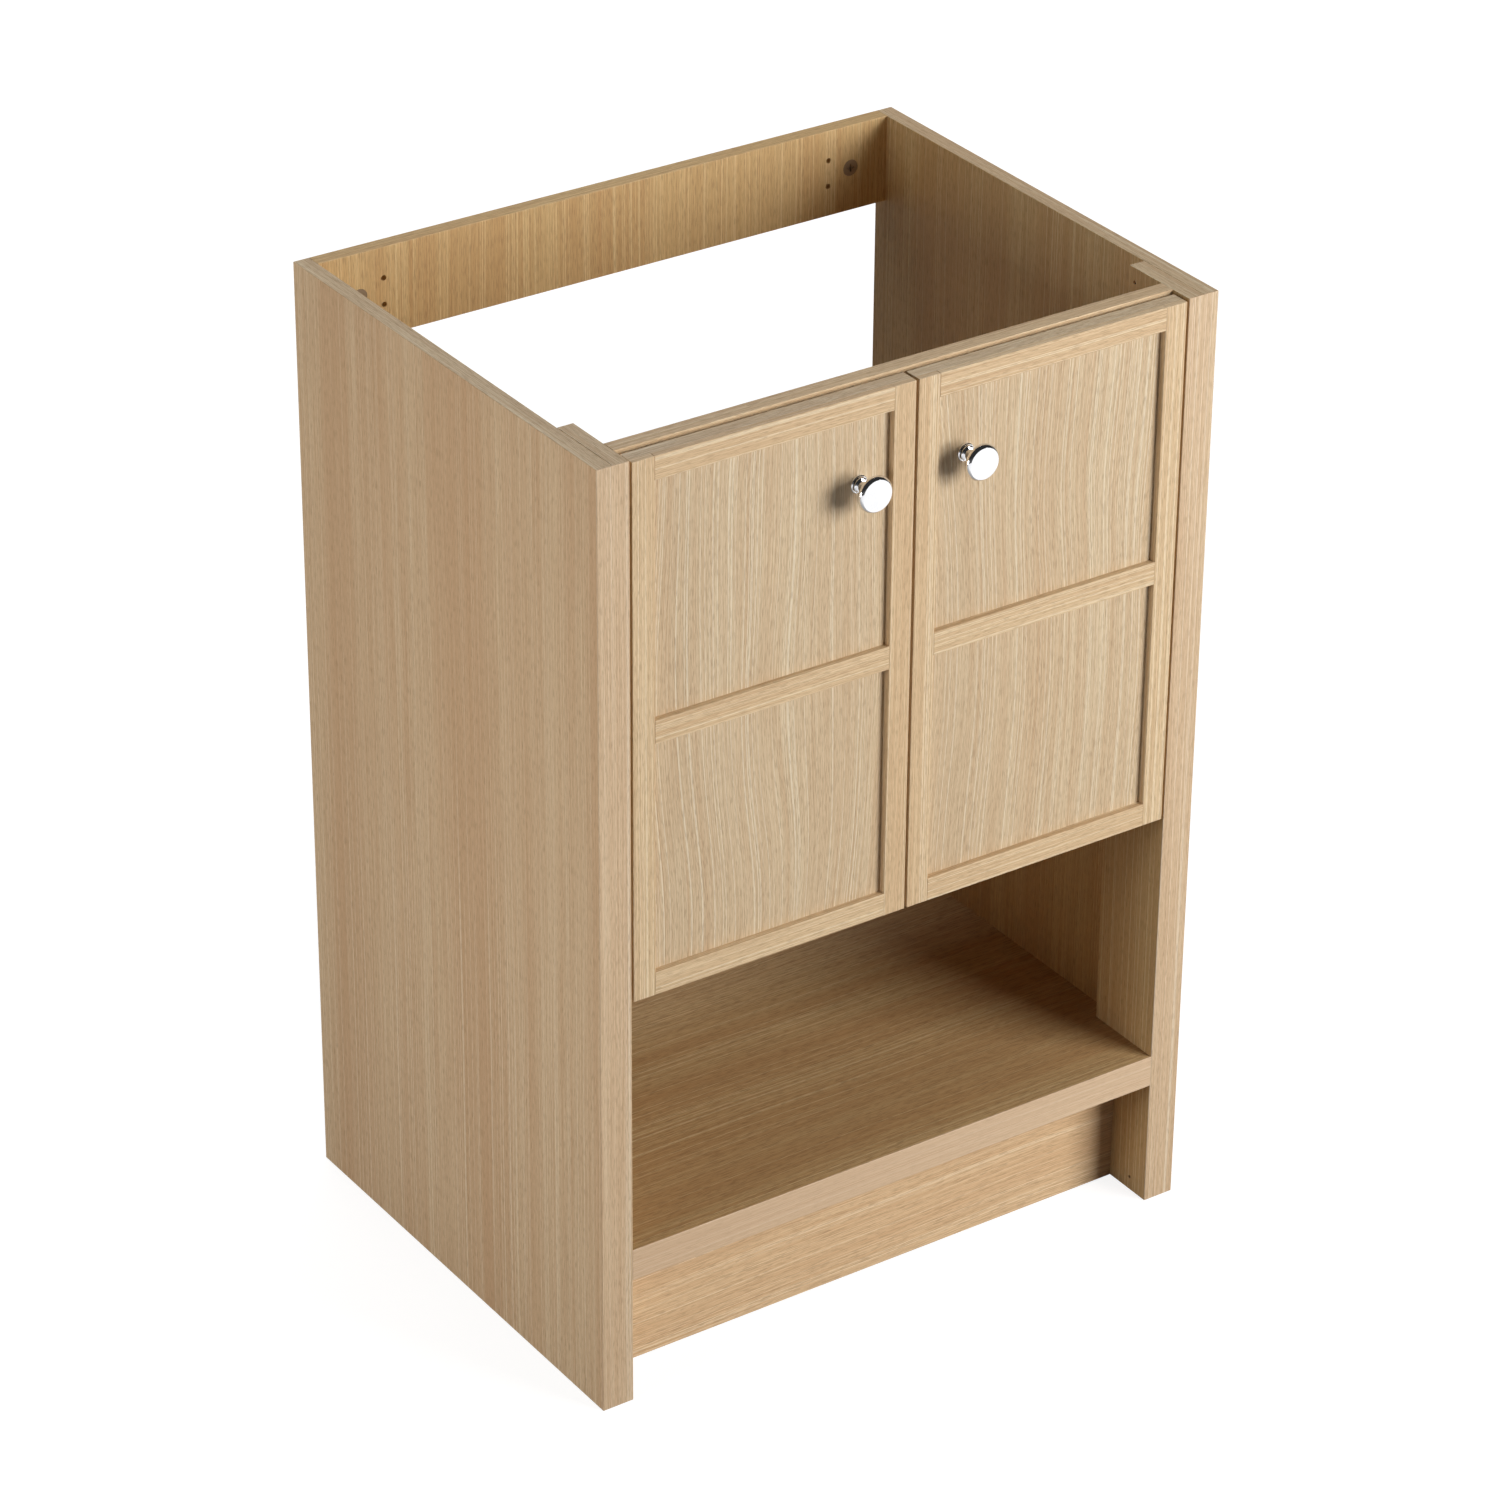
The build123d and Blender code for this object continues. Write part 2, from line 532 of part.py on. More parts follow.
# Cut the holes, then write one file for each node
os.makedirs("parts", exist_ok=True)
for node, shape in nodes.items():
    solids = shape if isinstance(shape, list) else [shape]
    for tool in bores.get(node, []):
        solids = [solid - tool for solid in solids]
    bodies = [body for solid in solids for body in solid.solids()]
    export_step(bodies[0] if len(bodies) == 1 else Compound(bodies), f"parts/{node}.step")
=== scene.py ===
"""Finishes a bathroom vanity unit in pale oak around its CAD frame.

Each board gets its own cut of oak, the knobs are turned anew, the fittings get their finishes,
and a studio is set up.
"""

import math

import bpy
from bpy.props import FloatProperty, FloatVectorProperty, PointerProperty
from bpy.types import Operator, Panel, PropertyGroup
from mathutils import Color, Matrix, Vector
from mathutils.geometry import interpolate_bezier


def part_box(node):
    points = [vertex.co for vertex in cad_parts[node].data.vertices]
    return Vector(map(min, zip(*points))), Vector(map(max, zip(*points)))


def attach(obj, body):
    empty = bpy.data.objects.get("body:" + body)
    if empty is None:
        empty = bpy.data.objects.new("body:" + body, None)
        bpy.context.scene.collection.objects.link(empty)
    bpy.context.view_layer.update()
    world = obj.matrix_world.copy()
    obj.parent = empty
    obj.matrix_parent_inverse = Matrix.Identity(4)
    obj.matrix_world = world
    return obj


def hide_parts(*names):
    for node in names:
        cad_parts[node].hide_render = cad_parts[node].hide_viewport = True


bl_info = {
    "name": "Oak vanity unit",
    "version": (1, 0, 0),
    "blender": (4, 5, 0),
    "location": "View3D > Sidebar > Vanity",
    "description": "Finishes the boards and fittings of a vanity unit and sets up its studio",
    "category": "Object",
}

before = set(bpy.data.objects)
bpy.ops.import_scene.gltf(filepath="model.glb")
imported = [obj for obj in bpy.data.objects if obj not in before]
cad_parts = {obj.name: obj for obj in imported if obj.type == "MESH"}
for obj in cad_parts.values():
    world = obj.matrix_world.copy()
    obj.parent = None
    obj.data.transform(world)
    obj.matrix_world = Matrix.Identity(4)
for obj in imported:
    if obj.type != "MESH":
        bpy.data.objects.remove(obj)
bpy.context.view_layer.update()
KNOB_LOW, KNOB_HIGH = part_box("left_door_knob")

X, Y, Z = 0, 1, 2
SIDES = ("left", "right")

# Each board's grain axis, the axis that the grain follows on its end faces, and its cut of oak
UPRIGHT_BOARDS = {
    "left_side_panel": (Z, Y, "side"),
    "right_side_panel": (Z, Y, "side"),
    "left_front_filler": (Z, Y, "side"),
    "right_front_filler": (Z, Y, "side"),
    "left_front_edge_band": (Z, X, "front"),
    "right_front_edge_band": (Z, X, "front"),
}
LEVEL_BOARDS = {
    "top_back_rail": (Z, X, "rail"),
    "top_front_rail": (X, Y, "strip"),
    "cabinet_floor": (X, Y, "shelf"),
    "bottom_shelf": (X, Y, "shelf"),
    "shelf_front_filler": (X, Y, "shelf"),
    "shelf_front_edge_band": (X, Z, "band"),
    "toe_kick": (X, Z, "toe"),
}
DOOR_BOARDS = {
    "slab": (Z, X, "slab"),
    "hinge_stile": (Z, X, "strip"),
    "meeting_stile": (Z, X, "strip"),
    "top_rail": (X, Z, "strip"),
    "middle_rail": (X, Z, "strip"),
    "bottom_rail": (X, Z, "strip"),
}
HINGE_PIECES = (
    "hinge_cups",
    "hinge_cup_pins",
    "hinge_links",
    "hinge_arms",
    "hinge_arm_pins",
    "hinge_plates",
)
SCREW_NODES = (
    "filler_screws",
    "hinge_arm_screws",
    "hinge_plate_screws",
    "left_door_cup_screws",
    "right_door_cup_screws",
    "left_door_knob_screw",
    "right_door_knob_screw",
    "cam_bolts",
)
LAMPS = ("key", "fill", "top", "back")

NOISE_MIDDLE = 0.5
# Sockets of a Mix node that take and give colours
MIX_FIRST, MIX_SECOND, MIX_RESULT = 6, 7, 2

# Metres between the places in the grain that two boards with following numbers are cut from
BOARD_STEP_ALONG = 0.43
BOARD_STEP_ACROSS = 0.37
# A face is an end of its board where more than this part of its normal points along the grain
END_FACING = 0.7
# A face of an upright is an inner one where it looks to the middle from more than this far away
INNER_OFFSET = 0.1
# How fast the straying of the grain changes with depth, per metre
STRAY_BY_DEPTH = 2.0
# Broad bands that a cluster of rings is wide
CLUSTER_PLANKS = 2
# How much of its colour each layer of the grain lays on: a least share, and what a cut's lines or
# bands, or the growth bands, add to it
FIBRE_BY_LINES = 0.7
GROWTH_LEAST, GROWTH_BY_BANDS = 0.02, 0.2
CLUSTER_LEAST, CLUSTER_BY_BANDS = 0.1, 0.3
RING_BY_LINES = 0.45
THREAD_LEAST, THREAD_BY_LINES = 0.1, 0.55
PORE_LEAST, PORE_BY_GROWTH = 0.30, 0.1
# How deep fibres and pores lie, as shares of the relief, and how much rougher they are
FIBRE_SINK, PORE_SINK = 0.5, 0.5
FIBRE_ROUGHNESS, PORE_ROUGHNESS = 0.05, 0.12
OAK_RELIEF_DEPTH = 0.0002
OAK_IOR = 1.45

# Each metal's grit in metres, how far the grit is drawn out along Z, and its relief's strength
METAL_GRITS = {
    "chrome": (0.0004, 1.0, 0.01),
    "nickel": (0.0006, 8.0, 0.05),
    "plating": (0.0005, 1.0, 0.08),
    "casting": (0.0008, 1.0, 0.2),
}
METAL_CLOUDS_PER_METRE = 60
METAL_GRIT_SHARE, METAL_CLOUD_SHARE = 0.6, 0.4
METAL_SHADE_RANGE = (0.30, 0.70)
METAL_TARNISH = 0.93
METAL_LEAST_ROUGHNESS, METAL_ROUGHNESS_SPREAD = 0.75, 0.5
METAL_RELIEF_DEPTH = 0.00005

# Flecks and clouds of the beech per metre, along X and across it
BEECH_FLECKS_ALONG, BEECH_FLECKS_ACROSS = 180, 900
BEECH_CLOUDS_ALONG, BEECH_CLOUDS_ACROSS = 30, 260
BEECH_FLECK_RANGE = (0.58, 0.70)
BEECH_FLECK_SHARE = 0.6
BEECH_FLECK_TINT = (0.80, 0.74, 0.66)
BEECH_CLOUD_TINT = (0.92, 0.88, 0.82)
BEECH_ROUGHNESS, BEECH_FLECK_ROUGHNESS = 0.6, 0.1

RUBBER_DUST_PER_METRE = 900
RUBBER_DUST_SHARE = 0.3
RUBBER_DUST_COLOUR = (0.80, 0.79, 0.76)
RUBBER_ROUGHNESS, RUBBER_DUST_ROUGHNESS = 0.22, 0.2
RUBBER_IOR = 1.45
RUBBER_CLEARNESS = 0.65

# How far inside the head's radius the knob's rim starts at the back and ends at the face
RIM_INSET_BACK, RIM_INSET_FACE = 0.0012, 0.0023
# Handles of the curves from the neck to the rim and round the rim, as radius, height and 0
NECK_HANDLE = Vector((0, 0.0085, 0))
FLARE_HANDLE = Vector((0.0050, 0.0011, 0))
RIM_BACK_HANDLE = Vector((0.0019, 0.0011, 0))
RIM_FACE_HANDLE = Vector((0.0025, -0.0015, 0))
CURVE_POINTS = 14
# Steps, in eases, from the rim in to the two rings that keep the knob's face flat
FACE_RING_STEPS = (1, 3)
KNOB_SIDES = 96
KNOB_SMOOTH_ANGLE = math.radians(28)

# Distances from the floor's middle between which its paper turns from its own white to full white
PAPER_FADE = (1.2, 3.5)
# Places along Y between which the reflected floor turns to its darker far part, a painted shade
# that only reflections show
FAR_FLOOR_FADE = (-1.20, -0.55)
# Heights of a direction between which the reflected walls turn to ceiling
CEILING_FADE = (0.05, 0.40)
SENSOR_WIDTH = 36


def length(name, description, default):
    """A property that holds a size in metres."""
    return FloatProperty(
        name=name, description=description, default=default, min=0, unit="LENGTH", precision=5
    )


def share(name, description, default):
    """A property that holds a plain share or strength."""
    return FloatProperty(
        name=name, description=description, default=default, min=0, soft_max=1, subtype="FACTOR"
    )


def paint(name, description, default):
    """A property that holds a colour as it looks on a screen."""
    return FloatVectorProperty(
        name=name, description=description, default=default, min=0, max=2, subtype="COLOR_GAMMA"
    )


def figure(name, description, default):
    """A property that holds how strongly a cut shows fine lines, broad bands and straying grain."""
    return FloatVectorProperty(
        name=name, description=description, default=default, size=3, min=0, soft_max=1
    )


def power(name, description, default):
    """A property that holds a lamp's power in watts."""
    return FloatProperty(name=name, description=description, default=default, min=0, unit="POWER")


def place(name, description, default):
    """A property that holds a point in metres."""
    return FloatVectorProperty(
        name=name, description=description, default=default, subtype="TRANSLATION"
    )


class VanityOak(PropertyGroup):
    """The oak decor that covers every board."""

    light: paint("Light wood", "Wood between the fibres", (0.88, 0.775, 0.622))
    dark: paint("Dark wood", "Wood along the fibres", (0.77, 0.64, 0.485))
    warm: paint("Warm wood", "Broad warmer bands and thin rings", (0.785, 0.632, 0.470))
    pale: paint("Pale lines", "Thin pale lines along the grain", (0.930, 0.855, 0.725))
    # Painted sheen: the uprights' end faces, their tops among them, get a cooler, greyer tone that
    # stands in for the light's sheen on the tops
    end_sheen: paint(
        "End_sheen",
        "Share of each colour that the banding on the uprights' ends keeps",
        (0.96, 0.988, 1.008),
    )
    # Painted shade: the uprights' inner faces get a warmer, less blue tone, the colour that the
    # shade inside the cabinet gives them
    inside: paint(
        "Inside",
        "Share of each colour that the uprights' inner faces keep",
        (1.01, 1.018, 0.947),
    )
    pore: paint("Pores", "Fine dark dashes along the grain", (0.56, 0.43, 0.3))
    side_tint: paint("Side tint", "Tint of the side panels and fillers", (1.01, 0.998, 0.993))
    front_tint: paint("Front tint", "Tint of the front edge bands", (0.98, 0.987, 1.018))
    rail_tint: paint("Rail tint", "Tint of the back rail", (0.968, 0.938, 0.83))
    # Painted shade: the shelf's tint is darker and warmer than the others, standing in for the
    # shade over the shelf and the cabinet floor
    shelf_tint: paint("Shelf tint", "Tint of the shelf and the cabinet floor", (0.93, 0.9, 0.81))
    band_tint: paint("Shelf front tint", "Tint of the shelf's front", (0.98, 0.97, 1.0))
    toe_tint: paint("Toe kick tint", "Tint of the toe kick", (1.033, 1.013, 0.998))
    slab_tint: paint("Door panel tint", "Tint of the doors' flat panels", (0.962, 0.986, 1.017))
    strip_tint: paint(
        "Strip tint", "Tint of the doors' strips and the front rail", (0.992, 0.997, 0.997)
    )
    side_figure: figure(
        "Side figure", "Figure of the side panels and fillers", (0.95, 0.62, 0.13)
    )
    front_figure: figure("Front figure", "Figure of the front edge bands", (0.9, 0.2, 0.06))
    rail_figure: figure("Rail figure", "Figure of the back rail", (0.95, 0.5, 0.25))
    shelf_figure: figure(
        "Shelf figure", "Figure of the shelf and the cabinet floor", (1.2, 0.6, 0.2)
    )
    band_figure: figure("Shelf front figure", "Figure of the shelf's front", (0.45, 0.2, 0.2))
    toe_figure: figure("Toe kick figure", "Figure of the toe kick", (0.95, 0.4, 0.35))
    slab_figure: figure("Door panel figure", "Figure of the doors' flat panels", (1.0, 0.25, 1.0))
    strip_figure: figure(
        "Strip figure", "Figure of the doors' strips and the front rail", (0.95, 0.25, 0.08)
    )
    fibre_width: length("Fibre width", "Width of a fibre", 0.0008)
    fibre_length: length("Fibre length", "Length of a fibre", 0.12)
    pore_width: length("Pore width", "Width of a pore dash", 0.0006)
    pore_length: length("Pore length", "Length of a pore dash", 0.010)
    ring_width: length("Ring width", "Width of a thin warm growth ring", 0.0009)
    thread_width: length("Thread width", "Spread of the thin pale lines", 0.001)
    thread_length: length("Thread length", "Length of the thin pale lines", 1.2)
    growth_width: length("Growth band width", "Width of a growth band", 0.009)
    growth_length: length("Growth band length", "Length over which growth bands change", 0.60)
    plank_width: length("Plank width", "Width of a broad warm or cool band", 0.042)
    plank_length: length("Plank length", "Length over which a broad band changes", 2.0)
    wander: length("Wander", "How far the grain lines stray to the side", 0.03)
    wander_width: length("Wander width", "Width over which the lines stray together", 0.2)
    wander_length: length("Wander length", "Length over which the lines stray", 0.4)
    sheen_roughness: share("Roughness", "Roughness of the wood's satin finish", 0.46)
    relief: share("Relief", "Strength of the grain's fine relief", 0.22)


class VanityMetal(PropertyGroup):
    """The metals, the dowels and the bumpers."""

    chrome: paint("Chrome", "Polished chrome of the knobs", (0.955, 0.957, 0.965))
    chrome_roughness: share("Chrome roughness", "Roughness of the polished chrome", 0.045)
    nickel: paint("Nickel", "Nickel plate of the hinges", (0.83, 0.815, 0.785))
    nickel_roughness: share("Nickel roughness", "Roughness of the nickel plate", 0.24)
    plating: paint("Screw plating", "Zinc plate of the screws and bolts", (0.80, 0.795, 0.77))
    plating_roughness: share("Plating roughness", "Roughness of the zinc plate", 0.33)
    casting: paint("Cam casting", "Dull die-cast zinc of the cam locks", (0.66, 0.575, 0.475))
    casting_roughness: share("Casting roughness", "Roughness of the die-cast zinc", 0.6)
    beech: paint("Beech", "Beech of the dowels", (0.86, 0.72, 0.56))
    rubber: paint("Bumper rubber", "Clear rubber of the door bumpers", (0.90, 0.90, 0.87))


class VanityKnob(PropertyGroup):
    """The outline that the knobs are turned to."""

    head_radius: length("Head radius", "Radius of the head", (KNOB_HIGH.x - KNOB_LOW.x) / 2)
    reach: length("Reach", "Length from the door to the head's face", KNOB_HIGH.y - KNOB_LOW.y)
    head: length("Head thickness", "Thickness of the head", 0.0062)
    foot_radius: length("Foot radius", "Radius of the foot", 0.0080)
    foot: length("Foot thickness", "Thickness of the foot", 0.0030)
    groove: length("Groove", "Width of the groove between the foot and the ring", 0.0006)
    ring_radius: length("Ring radius", "Radius of the ring over the foot", 0.0069)
    ring: length("Ring thickness", "Thickness of the ring", 0.0020)
    neck_radius: length("Neck radius", "Radius of the neck", 0.0051)
    ease: length("Ease", "Size of the small eased corners", 0.0006)
    bore_radius: length("Bore radius", "Radius of the hole for the knob's screw", 0.0021)
    bore: length("Bore depth", "Depth of the hole for the knob's screw", 0.0100)


class VanityStage(PropertyGroup):
    """The floor, the lamps and the camera."""

    floor_size: length("Floor size", "Width of the floor", 14.0)
    floor_white: share("Floor white", "Light that the floor adds to what the camera sees", 0.87)
    far_floor_shade: share("Far floor", "How light the floor's far part is in reflections", 0.22)
    floor_shade: share("Floor shade", "How much of the shadow the floor shows", 0.27)
    floor_bounce: share("Floor bounce", "Share of the light that the floor throws back", 0.2)
    ambient: share("Ambient", "Level of the light from all round", 0.01)
    walls: share("Wall level", "How light the walls are in reflections", 0.12)
    ceiling: share("Ceiling level", "How light the ceiling is in reflections", 0.03)
    key_power: power("Key power", "Power of the lamp in front, at the right", 194)
    key_size: length("Key size", "Width of the lamp in front", 2.2)
    key_place: place("Key place", "Place of the lamp in front", (2.13, -3.41, 1.68))
    fill_power: power("Fill power", "Power of the lamp at the left", 26)
    fill_size: length("Fill size", "Width of the lamp at the left", 0.7)
    fill_place: place("Fill place", "Place of the lamp at the left", (-2.3, -0.25, 0.8))
    top_power: power("Top power", "Power of the lamp above the back", 52)
    top_size: length("Top size", "Width of the lamp above the back", 2.0)
    top_place: place("Top place", "Place of the lamp above the back", (0.44, 1.64, 3.39))
    back_power: power("Back power", "Power of the lamp behind", 12)
    back_size: length("Back size", "Width of the lamp behind", 0.5)
    back_place: place("Back place", "Place of the lamp behind", (0, 3.4, 0.28))
    aim: place("Aim", "Point that the lamps face", (0, 0, 0.45))
    camera_place: place("Camera place", "Place of the camera", (-2.30702, -3.37308, 2.73174))
    camera_turn: FloatVectorProperty(
        name="Camera turn",
        description="Turn of the camera",
        default=[math.radians(turn) for turn in (60.6507, -0.4279, -34.1041)],
        subtype="EULER",
    )
    lens: FloatProperty(
        name="Lens", description="Focal length in millimetres", default=131.01, unit="CAMERA"
    )


class Value:
    """A value on its way through a shader; an expression on it adds the Math nodes it takes."""

    def __init__(self, shader, socket):
        self.shader = shader
        self.socket = socket

    def math(self, operation, first, second=0.0):
        """The result of a Math node."""
        return self.shader.node("ShaderNodeMath", {"operation": operation}, {0: first, 1: second})

    def __add__(self, other):
        return self.math("ADD", self, other)

    def __sub__(self, other):
        return self.math("SUBTRACT", self, other)

    def __rsub__(self, other):
        return self.math("SUBTRACT", other, self)

    def __mul__(self, other):
        return self.math("MULTIPLY", self, other)

    def __abs__(self):
        return self.math("ABSOLUTE", self)

    def __gt__(self, other):
        return self.math("GREATER_THAN", self, other)

    def at_most(self, other):
        """The lesser of two values."""
        return self.math("MINIMUM", self, other)

    __radd__ = __add__
    __rmul__ = __mul__


class Shader:
    """A material or world in the making."""

    def __init__(self, owner):
        owner.use_nodes = True
        self.owner = owner
        self.tree = owner.node_tree
        self.tree.nodes.clear()

    def node(self, kind, settings, inputs, output=0):
        """Add a node, set it up, feed its sockets and give one of its outputs."""
        made = self.tree.nodes.new(kind)
        for name, setting in settings.items():
            setattr(made, name, setting)
        for key, given in inputs.items():
            if isinstance(given, Value):
                self.tree.links.new(given.socket, made.inputs[key])
            else:
                made.inputs[key].default_value = given
        return Value(self, made.outputs[output]) if made.outputs else made

    def split(self, vector):
        """The three parts of a vector."""
        parts = self.node("ShaderNodeSeparateXYZ", {}, {0: vector})
        outputs = parts.socket.node.outputs
        return [Value(self, outputs[axis]) for axis in (X, Y, Z)]

    def coordinate(self, kind):
        """A texture coordinate."""
        return self.node("ShaderNodeTexCoord", {}, {}, kind)

    def is_ray(self, kind):
        """1 for a ray of a kind, 0 for any other."""
        return self.node("ShaderNodeLightPath", {}, {}, f"Is {kind} Ray")

    def noise(self, x, y, z, detail=0.0, roughness=0.5):
        """Soft noise at a point whose parts are already scaled."""
        point = self.node("ShaderNodeCombineXYZ", {}, {X: x, Y: y, Z: z})
        inputs = {"Vector": point, "Scale": 1.0, "Detail": detail, "Roughness": roughness}
        return self.node("ShaderNodeTexNoise", {}, inputs)

    def between(self, value, low, high):
        """A value brought to 0 at low and 1 at high, with soft ends."""
        inputs = {"Value": value, "From Min": low, "From Max": high}
        return self.node("ShaderNodeMapRange", {"interpolation_type": "SMOOTHSTEP"}, inputs)

    def blend(self, factor, first, second, blend_type="MIX"):
        """A colour between two colours."""
        settings = {"data_type": "RGBA", "blend_type": blend_type}
        inputs = {0: factor, MIX_FIRST: first, MIX_SECOND: second}
        return self.node("ShaderNodeMix", settings, inputs, MIX_RESULT)

    def tone(self, factor, colour, kept):
        """A colour, of which only a share is kept where the factor is 1."""
        return self.blend(factor, colour, kept, "MULTIPLY")

    def relief(self, height, strength, distance):
        """A fine relief on the surface."""
        inputs = {"Height": height, "Strength": strength, "Distance": distance}
        return self.node("ShaderNodeBump", {}, inputs)

    def surface(self, inputs):
        """Close the material with a Principled shader."""
        shade = self.node("ShaderNodeBsdfPrincipled", {}, inputs)
        self.node("ShaderNodeOutputMaterial", {}, {"Surface": shade})
        return self.owner


def linear(colour, tint=(1, 1, 1)):
    """A screen colour, times a tint, as the four linear values that a shader takes."""
    tinted = Color([part * amount for part, amount in zip(colour, tint)])
    return (*tinted.from_srgb_to_scene_linear(), 1)


def grey(level):
    """A grey as the four linear values that a shader takes."""
    return (level, level, level, 1)


WHITE = grey(1)


def oak(name, grain, edge, cut, number):
    """Oak decor whose grain runs along one axis, and along another on the ends of the board."""
    wood = bpy.context.scene.vanity_oak
    tint = getattr(wood, f"{cut}_tint")
    lines, bands, bend = getattr(wood, f"{cut}_figure")
    make = Shader(bpy.data.materials.new(name))
    spot = make.split(make.coordinate("Object"))
    facing = make.split(make.coordinate("Normal"))
    depth = spot[X + Y + Z - grain - edge]
    on_end = abs(facing[grain]) > END_FACING
    turned = on_end * (spot[edge] - spot[grain])
    along = spot[grain] + turned + number * BOARD_STEP_ALONG
    across = spot[edge] - turned + number * BOARD_STEP_ACROSS
    stray = make.noise(
        across * (1 / wood.wander_width),
        depth * STRAY_BY_DEPTH,
        along * (1 / wood.wander_length),
        detail=1.0,
    )
    line = across + (stray - NOISE_MIDDLE) * (2 * wood.wander * bend)

    def layer(width, extent, start, full, detail=0.0, roughness=0.5):
        """Streaks along the grain that start to show at one level of their noise."""
        streaks = make.noise(
            line * (1 / width), depth * (1 / width), along * (1 / extent), detail, roughness
        )
        return make.between(streaks, start, full)

    fibre = layer(
        wood.fibre_width, wood.fibre_length, start=0.36, full=0.64, detail=2.0, roughness=0.55
    )
    pore = layer(wood.pore_width, wood.pore_length, start=0.50, full=0.64, detail=1.0)
    growth = layer(
        wood.growth_width, wood.growth_length, start=0.30, full=0.70, detail=2.0, roughness=0.6
    )
    plank = layer(wood.plank_width, wood.plank_length, start=0.36, full=0.64, detail=1.0)
    cluster = layer(wood.plank_width * CLUSTER_PLANKS, wood.plank_length, start=0.50, full=0.66)
    ring = layer(wood.ring_width, wood.growth_length, start=0.52, full=0.68)
    thread = layer(wood.thread_width, wood.thread_length, start=0.61, full=0.73)

    light, dark, warm, pale, deep = (
        linear(getattr(wood, key), tint) for key in ("light", "dark", "warm", "pale", "pore")
    )
    darker = fibre * (lines * FIBRE_BY_LINES) + growth * (GROWTH_LEAST + bands * GROWTH_BY_BANDS)
    ringed = cluster * (CLUSTER_LEAST + bands * CLUSTER_BY_BANDS) + lines * RING_BY_LINES
    colour = make.blend(darker, light, dark)
    colour = make.blend(plank * bands, colour, warm)
    colour = make.blend(ring * ringed, colour, warm)
    colour = make.blend(thread * (THREAD_LEAST + lines * THREAD_BY_LINES), colour, pale)
    colour = make.blend(pore * (lines * (PORE_LEAST + growth * PORE_BY_GROWTH)), colour, deep)
    if cut == "side":
        # Painted shade: faces that look into the cabinet are tinted as the shade inside colours
        # them
        on_shaded_inside = spot[X] * facing[X] * -1 > INNER_OFFSET
        # Painted sheen: the ends turn cooler and greyer, as the light's sheen makes the tops look
        colour = make.tone(on_end, colour, linear(wood.end_sheen))
        colour = make.tone(on_shaded_inside, colour, linear(wood.inside))
    height = 1 - fibre * FIBRE_SINK - pore * PORE_SINK
    return make.surface(
        {
            "Base Color": colour,
            "Roughness": wood.sheen_roughness + pore * PORE_ROUGHNESS + fibre * FIBRE_ROUGHNESS,
            "IOR": OAK_IOR,
            "Normal": make.relief(height, wood.relief, OAK_RELIEF_DEPTH),
        }
    )


def metal(name, kind):
    """A bare or plated metal, with a fine grit that may be drawn out into streaks."""
    plate = bpy.context.scene.vanity_metal
    colour = getattr(plate, kind)
    roughness = getattr(plate, f"{kind}_roughness")
    grit, streak, relief = METAL_GRITS[kind]
    make = Shader(bpy.data.materials.new(name))
    x, y, z = make.split(make.coordinate("Object"))
    fine = make.noise(x * (1 / grit), y * (1 / grit), z * (1 / (grit * streak)), detail=2.0)
    broad = make.noise(*(part * METAL_CLOUDS_PER_METRE for part in (x, y, z)), detail=1.0)
    shade = make.between(fine * METAL_GRIT_SHARE + broad * METAL_CLOUD_SHARE, *METAL_SHADE_RANGE)
    spread = shade * (roughness * METAL_ROUGHNESS_SPREAD)
    return make.surface(
        {
            "Base Color": make.blend(shade, linear(colour, (METAL_TARNISH,) * 3), linear(colour)),
            "Metallic": 1.0,
            "Roughness": roughness * METAL_LEAST_ROUGHNESS + spread,
            "Normal": make.relief(fine, relief, METAL_RELIEF_DEPTH),
        }
    )


def beech(name):
    """Beech with short darker flecks along X."""
    wood = bpy.context.scene.vanity_metal.beech
    make = Shader(bpy.data.materials.new(name))
    x, y, z = make.split(make.coordinate("Object"))

    def speckle(along, across, detail):
        return make.noise(x * along, y * across, z * across, detail)

    flecks = speckle(BEECH_FLECKS_ALONG, BEECH_FLECKS_ACROSS, detail=1.0)
    clouds = speckle(BEECH_CLOUDS_ALONG, BEECH_CLOUDS_ACROSS, detail=2.0)
    fleck = make.between(flecks, *BEECH_FLECK_RANGE)
    colour = make.blend(clouds, linear(wood), linear(wood, BEECH_CLOUD_TINT))
    colour = make.blend(fleck * BEECH_FLECK_SHARE, colour, linear(wood, BEECH_FLECK_TINT))
    roughness = BEECH_ROUGHNESS + fleck * BEECH_FLECK_ROUGHNESS
    return make.surface({"Base Color": colour, "Roughness": roughness})


def clear_rubber(name):
    """Clear soft rubber, a little dusty."""
    clean = linear(bpy.context.scene.vanity_metal.rubber)
    make = Shader(bpy.data.materials.new(name))
    parts = make.split(make.coordinate("Object"))
    dust = make.noise(*(part * RUBBER_DUST_PER_METRE for part in parts), detail=2.0)
    return make.surface(
        {
            "Base Color": make.blend(dust * RUBBER_DUST_SHARE, clean, linear(RUBBER_DUST_COLOUR)),
            "Roughness": RUBBER_ROUGHNESS + dust * RUBBER_DUST_ROUGHNESS,
            "IOR": RUBBER_IOR,
            "Transmission Weight": RUBBER_CLEARNESS,
        }
    )


def dress(node, material):
    """Put a finish on a CAD node."""
    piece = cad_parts[node]
    if not piece.material_slots:
        piece.data.materials.append(material)
    for slot in piece.material_slots:
        slot.material = material


def dress_boards(boards, first_number):
    """Give each board of a group its own cut of oak."""
    for number, (node, (grain, edge, cut)) in enumerate(boards.items(), first_number):
        dress(node, oak("oak_" + node, grain, edge, cut, number))


